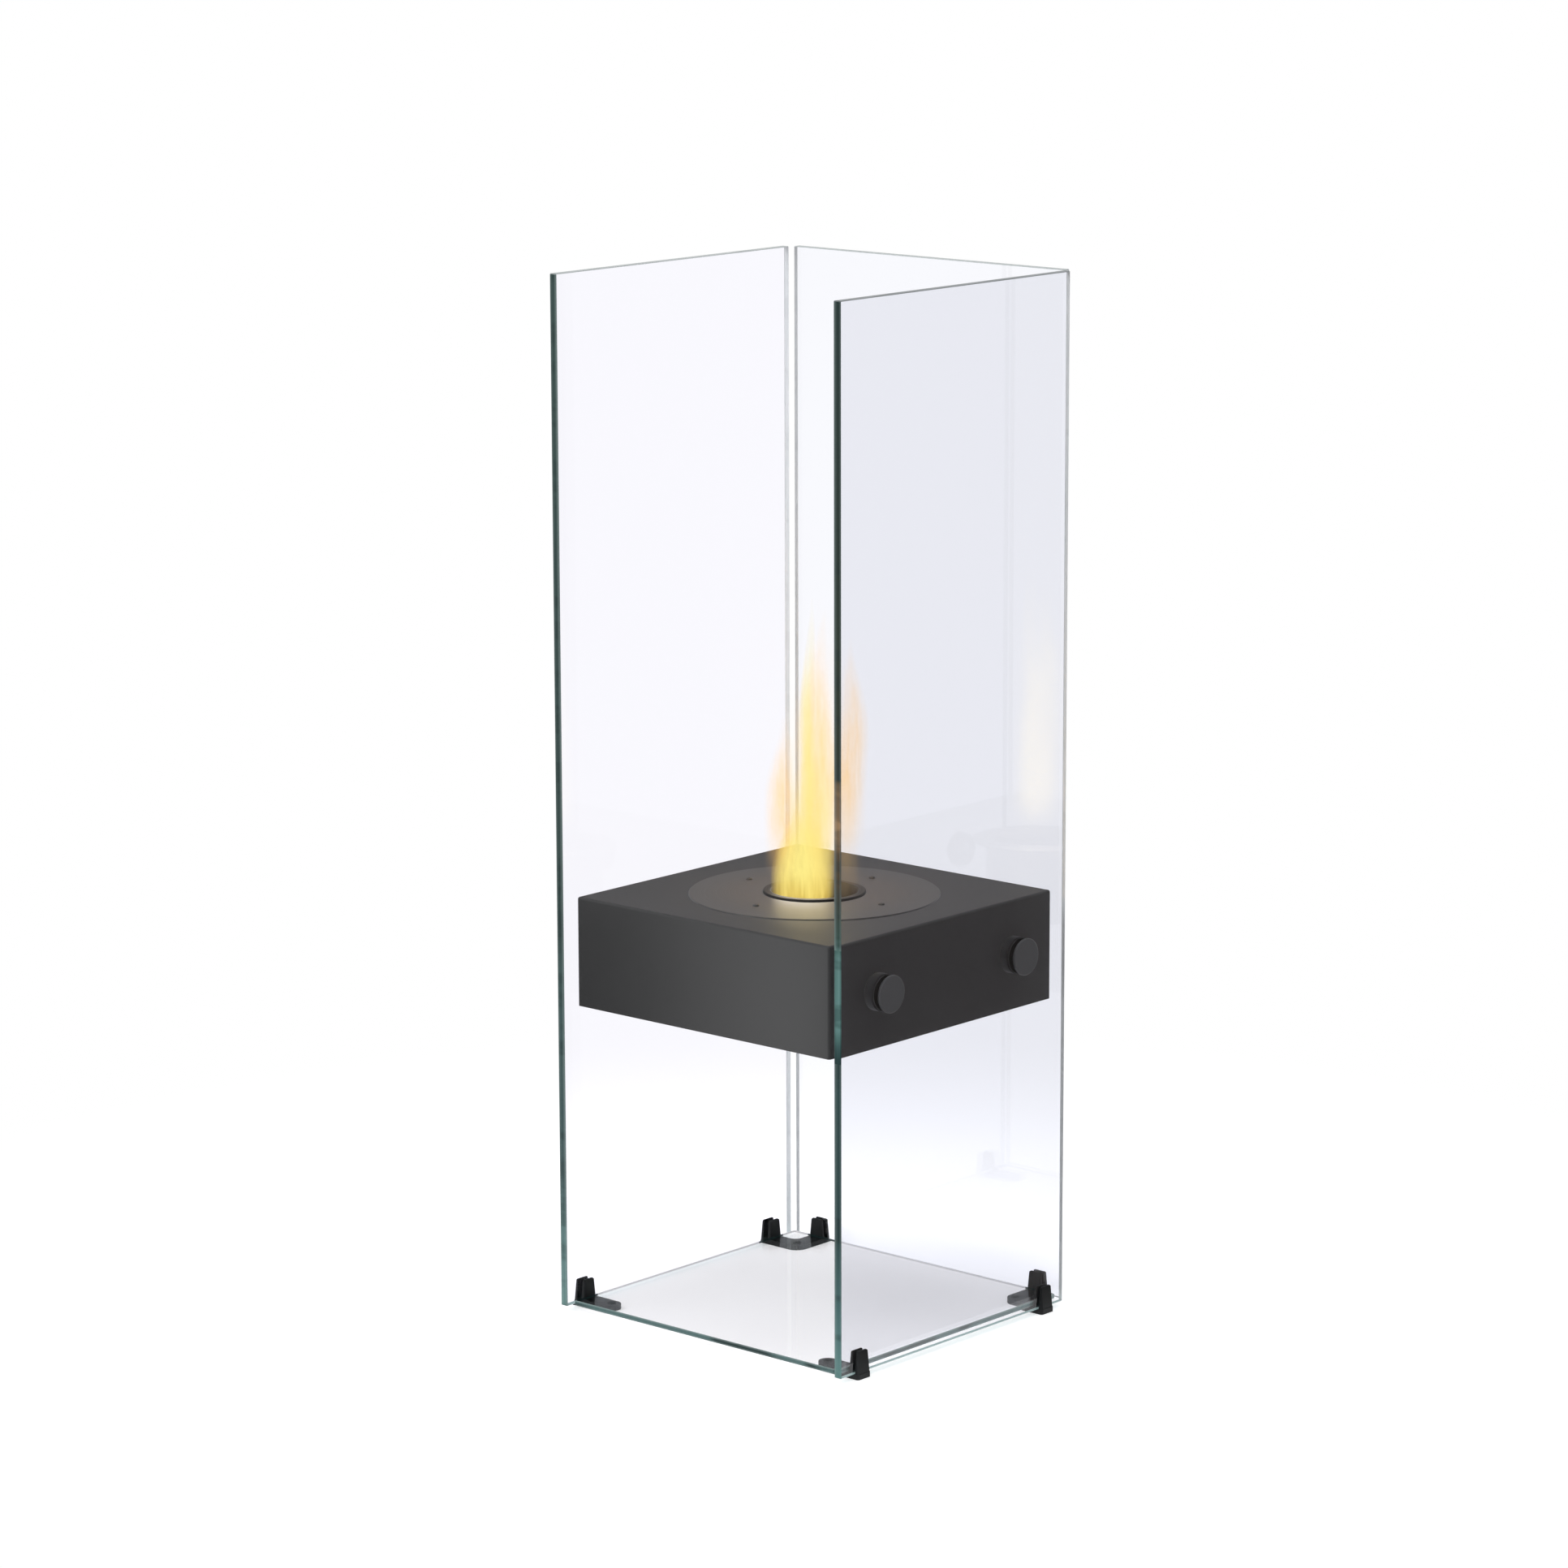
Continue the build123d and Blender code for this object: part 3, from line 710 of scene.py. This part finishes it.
def make_tongue_tree():
    """One tongue of fire: a drawn-out drop that narrows, leans and sways as it rises."""
    tree, given, result = new_group("Fire tongue", "GeometryNodeTree", [
        ("Geometry", GEOMETRY, None), ("Foot", VECTOR, None), ("Height", NUMBER, 0.25),
        ("Width", NUMBER, 0.03), ("Lean", VECTOR, None), ("Sway", NUMBER, 0.01), ("Phase", NUMBER, 0.0),
        ("Fullness", NUMBER, 0.5), ("Warmth", NUMBER, 1.0), ("Finish", MATERIAL, None),
    ], [("Geometry", GEOMETRY)])
    full_turn = 2 * math.pi
    sheet = add_node(tree, "GeometryNodeMeshGrid")
    for label, value in (("Size X", full_turn), ("Size Y", 1.0),
                         ("Vertices X", tongue_round), ("Vertices Y", tongue_rows)):
        sheet.inputs[label].default_value = value
    angle, up_sheet = split(tree, add_node(tree, "GeometryNodeInputPosition").outputs[0])[:2]
    along = maths(tree, "ADD", up_sheet, 0.5)
    outline = add_node(tree, "ShaderNodeFloatCurve")
    curve = outline.mapping.curves[0]
    curve.points[0].location = tongue_outline[0]
    curve.points[-1].location = tongue_outline[-1]
    for spot in tongue_outline[1:-1]:
        curve.points.new(*spot)
    outline.mapping.update()
    tree.links.new(along, outline.inputs["Value"])
    half = product(tree, outline.outputs[0], given["Width"], between(tree, along, *tongue_ends))
    wave = product(tree, maths(tree, "ADD", product(tree, along, tongue_waves), given["Phase"]), full_turn)
    swing = product(tree, given["Sway"], along)
    x = maths(tree, "ADD", product(tree, half, maths(tree, "COSINE", angle)),
              product(tree, swing, maths(tree, "SINE", wave)))
    y = maths(tree, "ADD", product(tree, half, maths(tree, "SINE", angle)),
              product(tree, swing, maths(tree, "COSINE", wave)))
    z = product(tree, along, given["Height"])
    bent = scaled(tree, given["Lean"], maths(tree, "POWER", along, tongue_bend))
    leaning = vector_maths(tree, "ADD", merge(tree, x, y, z), bent)
    marked = sheet.outputs["Mesh"]
    for label, value in zip(tongue_marks, (along, given["Fullness"], given["Warmth"])):
        store = pass_on(tree, "GeometryNodeStoreNamedAttribute", marked, data_type="FLOAT", domain="POINT")
        store.inputs["Name"].default_value = label
        tree.links.new(value, store.inputs["Value"])
        marked = store.outputs[0]
    shaped = pass_on(tree, "GeometryNodeSetPosition", marked)
    tree.links.new(vector_maths(tree, "ADD", leaning, given["Foot"]), shaped.inputs["Position"])
    smooth = pass_on(tree, "GeometryNodeSetShadeSmooth", weld(tree, shaped.outputs[0], weld_reach))
    finish_tree(tree, given, result, smooth.outputs[0])
    return tree


upward, forward, backward = (0.0, 0.0, 1.0), (0.0, -1.0, 0.0), (0.0, 1.0, 0.0)
rightward, leftward, downward = (1.0, 0.0, 0.0), (-1.0, 0.0, 0.0), (0.0, 0.0, -1.0)
rounds = []
for side, front_edge, upper_edge in (("left", left_front_edge, top_edge),
                                     ("right", right_front_edge, right_top_edge)):
    pane = {"Pane": nodes[side + "_glass"], "Thin Axis": rightward}
    rounds.append({**pane, "Facing": forward, "Finish": front_edge})
    rounds.append({**pane, "Facing": backward, "Lift": edge_sink, "Finish": pale_edge})
    rounds.append({**pane, "Facing": upward, "Finish": upper_edge})
    rounds.append({**pane, "Facing": downward, "Lift": edge_sink, "Finish": bottom_edge})
pane = {"Pane": nodes["rear_glass"], "Thin Axis": backward}
for way in (rightward, leftward):
    rounds.append({**pane, "Facing": way, "Lift": edge_sink, "Finish": pale_edge})
rounds.append({**pane, "Facing": upward, "Finish": top_edge})
pane = {"Pane": nodes["base_glass"], "Thin Axis": upward}
for way in (forward, rightward):
    rounds.append({**pane, "Facing": way, "Finish": base_edge})
for way in (backward, leftward):
    rounds.append({**pane, "Facing": way, "Lift": edge_sink, "Finish": far_base_edge})
glass_edges = grow("glass_edges", make_edge_tree(), rounds)
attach(glass_edges, "tower")

plate_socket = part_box("plate_screws")[1][2] + socket_proud - socket_depth / 2
floor_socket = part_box("floor_screws")[0][2] - socket_proud + socket_depth / 2
rounds = [{"Circle": plate_screw_circle, "Centre": (*burner_axis.xy, plate_socket), "Finish": socket_shade}]
for across, out in ((floor_screw_half, floor_screw_line), (floor_screw_line, floor_screw_half)):
    rounds.append({"Circle": math.hypot(across, out), "Start Angle": math.atan2(out, across),
                   "Centre": (*burner_axis.xy, floor_socket), "Finish": socket_shade})
screw_sockets = grow("screw_sockets", make_socket_tree(), rounds)
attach(screw_sockets, "tower")

# Tongues of fire as (out to the right, out to the back, foot above the screen, height, half width,
# lean to the right, sway, phase, fullness, warmth), right and back as the camera sees them
flame_right = Vector((0.749, 0.662, 0.0))
flame_back = Vector((-0.662, 0.749, 0.0))
tongues = [
    (-0.014, 0.000, 0.00, 0.125, 0.035, 0.000, 0.002, 0.10, 0.94, 1.0),
    (-0.012, -0.006, 0.00, 0.140, 0.035, 0.002, 0.003, 0.45, 0.42, 1.0),
    (-0.006, 0.006, 0.00, 0.210, 0.031, 0.004, 0.004, 0.70, 0.26, 0.9),
    (0.003, 0.000, 0.00, 0.330, 0.025, 0.000, 0.005, 0.25, 0.24, 0.9),
    (-0.004, 0.008, 0.00, 0.375, 0.014, 0.000, 0.004, 0.85, 0.58, 1.0),
    (0.011, -0.010, 0.00, 0.240, 0.014, 0.002, 0.004, 0.55, 0.30, 1.0),
    (-0.032, 0.004, 0.03, 0.200, 0.026, -0.004, 0.004, 0.95, 0.46, 0.0),
    (0.034, 0.004, 0.06, 0.260, 0.027, 0.012, 0.006, 0.35, 0.48, 0.0),
    (0.034, 0.010, 0.00, 0.170, 0.020, 0.004, 0.004, 0.15, 0.10, 0.1),
    (0.008, -0.012, 0.05, 0.310, 0.023, 0.004, 0.006, 0.65, 0.30, 0.0),
    (0.004, 0.000, 0.04, 0.330, 0.052, 0.006, 0.006, 0.05, 0.14, 0.0),
]
rounds = []
for right_way, back_way, start, tall, width, lean, sway, phase, fullness, warmth in tongues:
    foot = burner_axis + flame_right * right_way + flame_back * back_way
    rounds.append({"Foot": (foot.x, foot.y, screen_top + start), "Height": tall, "Width": width,
                   "Lean": flame_right * lean, "Sway": sway, "Phase": phase, "Fullness": fullness,
                   "Warmth": warmth, "Finish": flame_look})
flame = grow("flame", make_tongue_tree(), rounds)
flame.visible_shadow = False
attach(flame, "burner")


# Stage

floor_reach = 60.0
floor_drop = -0.0002
floor_tone = (0.85, 0.85, 0.86, 1.0)
near_floor_light = 0.60  # added to the floor that keeps the shadow
shadow_full, shadow_gone = 0.27, 0.40  # distances from the object's middle
far_floor_extra, far_floor_fall = 0.34, 1.6  # light above plain white, and how it falls off
extra_full, extra_gone = 0.42, 1.32


def stage_piece(name, corners, material):
    mesh = bpy.data.meshes.new(name)
    mesh.from_pydata(corners, [], [(0, 1, 2, 3)])
    mesh.materials.append(material)
    piece = bpy.data.objects.new(name, mesh)
    bpy.context.scene.collection.objects.link(piece)
    return piece


def new_stage_look(name):
    material, tree, shader = new_finish(name)
    tree.nodes.remove(shader)
    return material, tree


def show_either(tree, share, first, second, output="Material Output"):
    """Show the first shader where the share is 0, and the second where it is 1."""
    either = add_node(tree, "ShaderNodeMixShader")
    feed_in_turn(tree, either, (share, first, second))
    tree.links.new(either.outputs[0], tree.nodes[output].inputs["Surface"])


def seen_rays(tree):
    """1 for rays that show a background: straight, mirrored or through glass."""
    rays = add_node(tree, "ShaderNodeLightPath").outputs
    seen = maths(tree, "MAXIMUM", rays["Is Camera Ray"], rays["Is Glossy Ray"])
    return maths(tree, "MAXIMUM", seen, rays["Is Transmission Ray"])


def floor_look():
    """Pale floor that keeps the shadow near the object and runs out to plain white."""
    material, tree = new_stage_look("pale_floor")
    reach = vector_maths(tree, "LENGTH", place(tree))
    matt = add_node(tree, "ShaderNodeBsdfDiffuse")
    matt.inputs["Color"].default_value = floor_tone
    lit = add_node(tree, "ShaderNodeEmission")
    tree.links.new(product(tree, seen_rays(tree), near_floor_light), lit.inputs["Strength"])
    near = add_node(tree, "ShaderNodeAddShader")
    feed_in_turn(tree, near, (matt.outputs[0], lit.outputs[0]))
    far = add_node(tree, "ShaderNodeEmission")
    nearness = maths(tree, "POWER", spread(tree, reach, extra_full, extra_gone, 1.0, 0.0), far_floor_fall)
    tree.links.new(maths(tree, "ADD", 1.0, product(tree, nearness, far_floor_extra)), far.inputs["Strength"])
    away = spread(tree, reach, shadow_full, shadow_gone, smooth=True)
    show_either(tree, product(tree, away, seen_rays(tree)), near.outputs[0], far.outputs[0])
    return material


def flag_look(name, tone_steps, strength, near, through_glass):
    """Studio flag or card that shows only in mirrors that stand near it, with its tone set by the height."""
    material, tree = new_stage_look(name)
    lit = add_node(tree, "ShaderNodeEmission")
    tree.links.new(colour_steps(tree, height(tree), tone_steps), lit.inputs["Color"])
    lit.inputs["Strength"].default_value = strength
    clear = add_node(tree, "ShaderNodeBsdfTransparent")
    rays = add_node(tree, "ShaderNodeLightPath").outputs
    shows = product(tree, maths(tree, "GREATER_THAN", rays["Glossy Depth"], one_or_more),
                    maths(tree, "LESS_THAN", rays["Ray Length"], near))
    if not through_glass:
        shows = product(tree, shows, maths(tree, "LESS_THAN", rays["Transmission Depth"], one_or_more))
    show_either(tree, shows, clear.outputs[0], lit.outputs[0])
    return material


def flag(name, way, reach, low, high, bottom, top, tone_steps, near, strength=1.0, through_glass=True):
    """Upright flag square to a direction, from low to high towards the right of who looks that way."""
    along = Vector((way.y, -way.x, 0.0))
    start = way * reach + along * low
    end = way * reach + along * high
    foot, head = Vector((0.0, 0.0, bottom)), Vector((0.0, 0.0, top))
    piece = stage_piece(name, [start + foot, end + foot, end + head, start + head],
                        flag_look(name, tone_steps, strength, near, through_glass))
    piece.visible_camera = False
    piece.visible_diffuse = False
    piece.visible_shadow = False


stage_piece("floor", [(x * floor_reach, y * floor_reach, floor_drop)
                      for x, y in ((-1, -1), (1, -1), (1, 1), (-1, 1))], floor_look())

# Flags by what mirrors them: the right pane's outer face, the level faces, and the firebox's front
dusk = (0.15, 0.135, 0.13)
low_grey, high_grey = (0.40, 0.425, 0.435), (0.50, 0.495, 0.490)
black, white = (0.02, 0.02, 0.02), (1.0, 1.0, 1.0)
front_way = Vector((-0.663, -0.749, 0.0))
flag("side_flag", Vector((1.0, 0.0, 0.0)), reach=pane_outer + 0.035, low=-0.300, high=0.175,
     bottom=0.003, top=1.25, tone_steps=even(dusk), near=0.2)
flag("back_flag", Vector((-0.667, 0.745, 0.0)), reach=1.5, low=-1.2, high=1.2, bottom=0.1, top=2.0,
     tone_steps=[(0.0, low_grey), (0.5, low_grey), (0.65, high_grey), (1.0, high_grey)], near=2.5)
flag("front_flag", front_way, reach=0.50, low=-0.15, high=0.50, bottom=0.15, top=0.45,
     tone_steps=even(black), near=0.5, through_glass=False)
flag("front_card", front_way, reach=0.50, low=-0.60, high=-0.15, bottom=0.15, top=0.60,
     tone_steps=even(white), near=0.5, strength=3.6, through_glass=False)


# Light

def hang(name, lamp, spot):
    """Lamp that lights, and is itself seen neither straight, mirrored nor through glass."""
    holder = bpy.data.objects.new(name, lamp)
    holder.location = spot
    holder.visible_camera = False
    holder.visible_glossy = False
    holder.visible_transmission = False
    bpy.context.scene.collection.objects.link(holder)
    return holder


def soft_box(name, spot, aim, size, power):
    lamp = bpy.data.lights.new(name, "AREA")
    lamp.shape = "DISK"
    lamp.size = size
    lamp.energy = power
    holder = hang(name, lamp, spot)
    holder.rotation_euler = (Vector(aim) - Vector(spot)).to_track_quat("-Z", "Y").to_euler()


soft_box("key", spot=(-1.6, -2.6, 3.4), aim=(0.0, 0.0, 0.5), size=2.4, power=55.0)
soft_box("top", spot=(0.4, 0.3, 3.6), aim=(0.0, 0.0, 0.4), size=2.0, power=30.0)
glow_above_rim = 0.075
fire_glow = bpy.data.lights.new("fire_glow", "POINT")
fire_glow.energy = 0.6
fire_glow.color = (1.0, 0.62, 0.28)
fire_glow.shadow_soft_size = 0.035
hang("fire_glow", fire_glow, burner_axis + Vector((0.0, 0.0, rim_top + glow_above_rim)))

world = bpy.data.worlds.new("studio")
world.use_nodes = True
bpy.context.scene.world = world
sky = world.node_tree
ambient = sky.nodes["Background"]
ambient.inputs["Color"].default_value = (0.97, 0.98, 1.0, 1.0)
ambient.inputs["Strength"].default_value = 0.5
backdrop = add_node(sky, "ShaderNodeBackground")
backdrop.inputs["Color"].default_value = opaque(white)
backdrop.inputs["Strength"].default_value = 1.0
show_either(sky, seen_rays(sky), ambient.outputs[0], backdrop.outputs[0], "World Output")


# Camera at the photograph's viewing angle

camera_spot = Vector((3.9818, -4.5591, 1.8562))
azimuth, elevation, roll = (math.radians(angle) for angle in (41.489, 11.541, -0.156))
back = Vector((math.sin(azimuth) * math.cos(elevation), -math.cos(azimuth) * math.cos(elevation),
               math.sin(elevation)))
level = Vector((math.cos(azimuth), math.sin(azimuth), 0.0))
upright = back.cross(level)
right = level * math.cos(roll) + upright * math.sin(roll)
up = upright * math.cos(roll) - level * math.sin(roll)
lens = bpy.data.cameras.new("camera")
lens.sensor_width = 36.0
lens.lens = 124.256
camera = bpy.data.objects.new("camera", lens)
camera.matrix_world = Matrix.Translation(camera_spot) @ Matrix((right, up, back)).transposed().to_4x4()
bpy.context.scene.collection.objects.link(camera)
bpy.context.scene.camera = camera
bpy.context.scene.view_settings.view_transform = "Standard"
bpy.context.scene.cycles.transparent_max_bounces = 2 * len(tongues) + 2  # both walls of every tongue

bpy.context.view_layer.update()
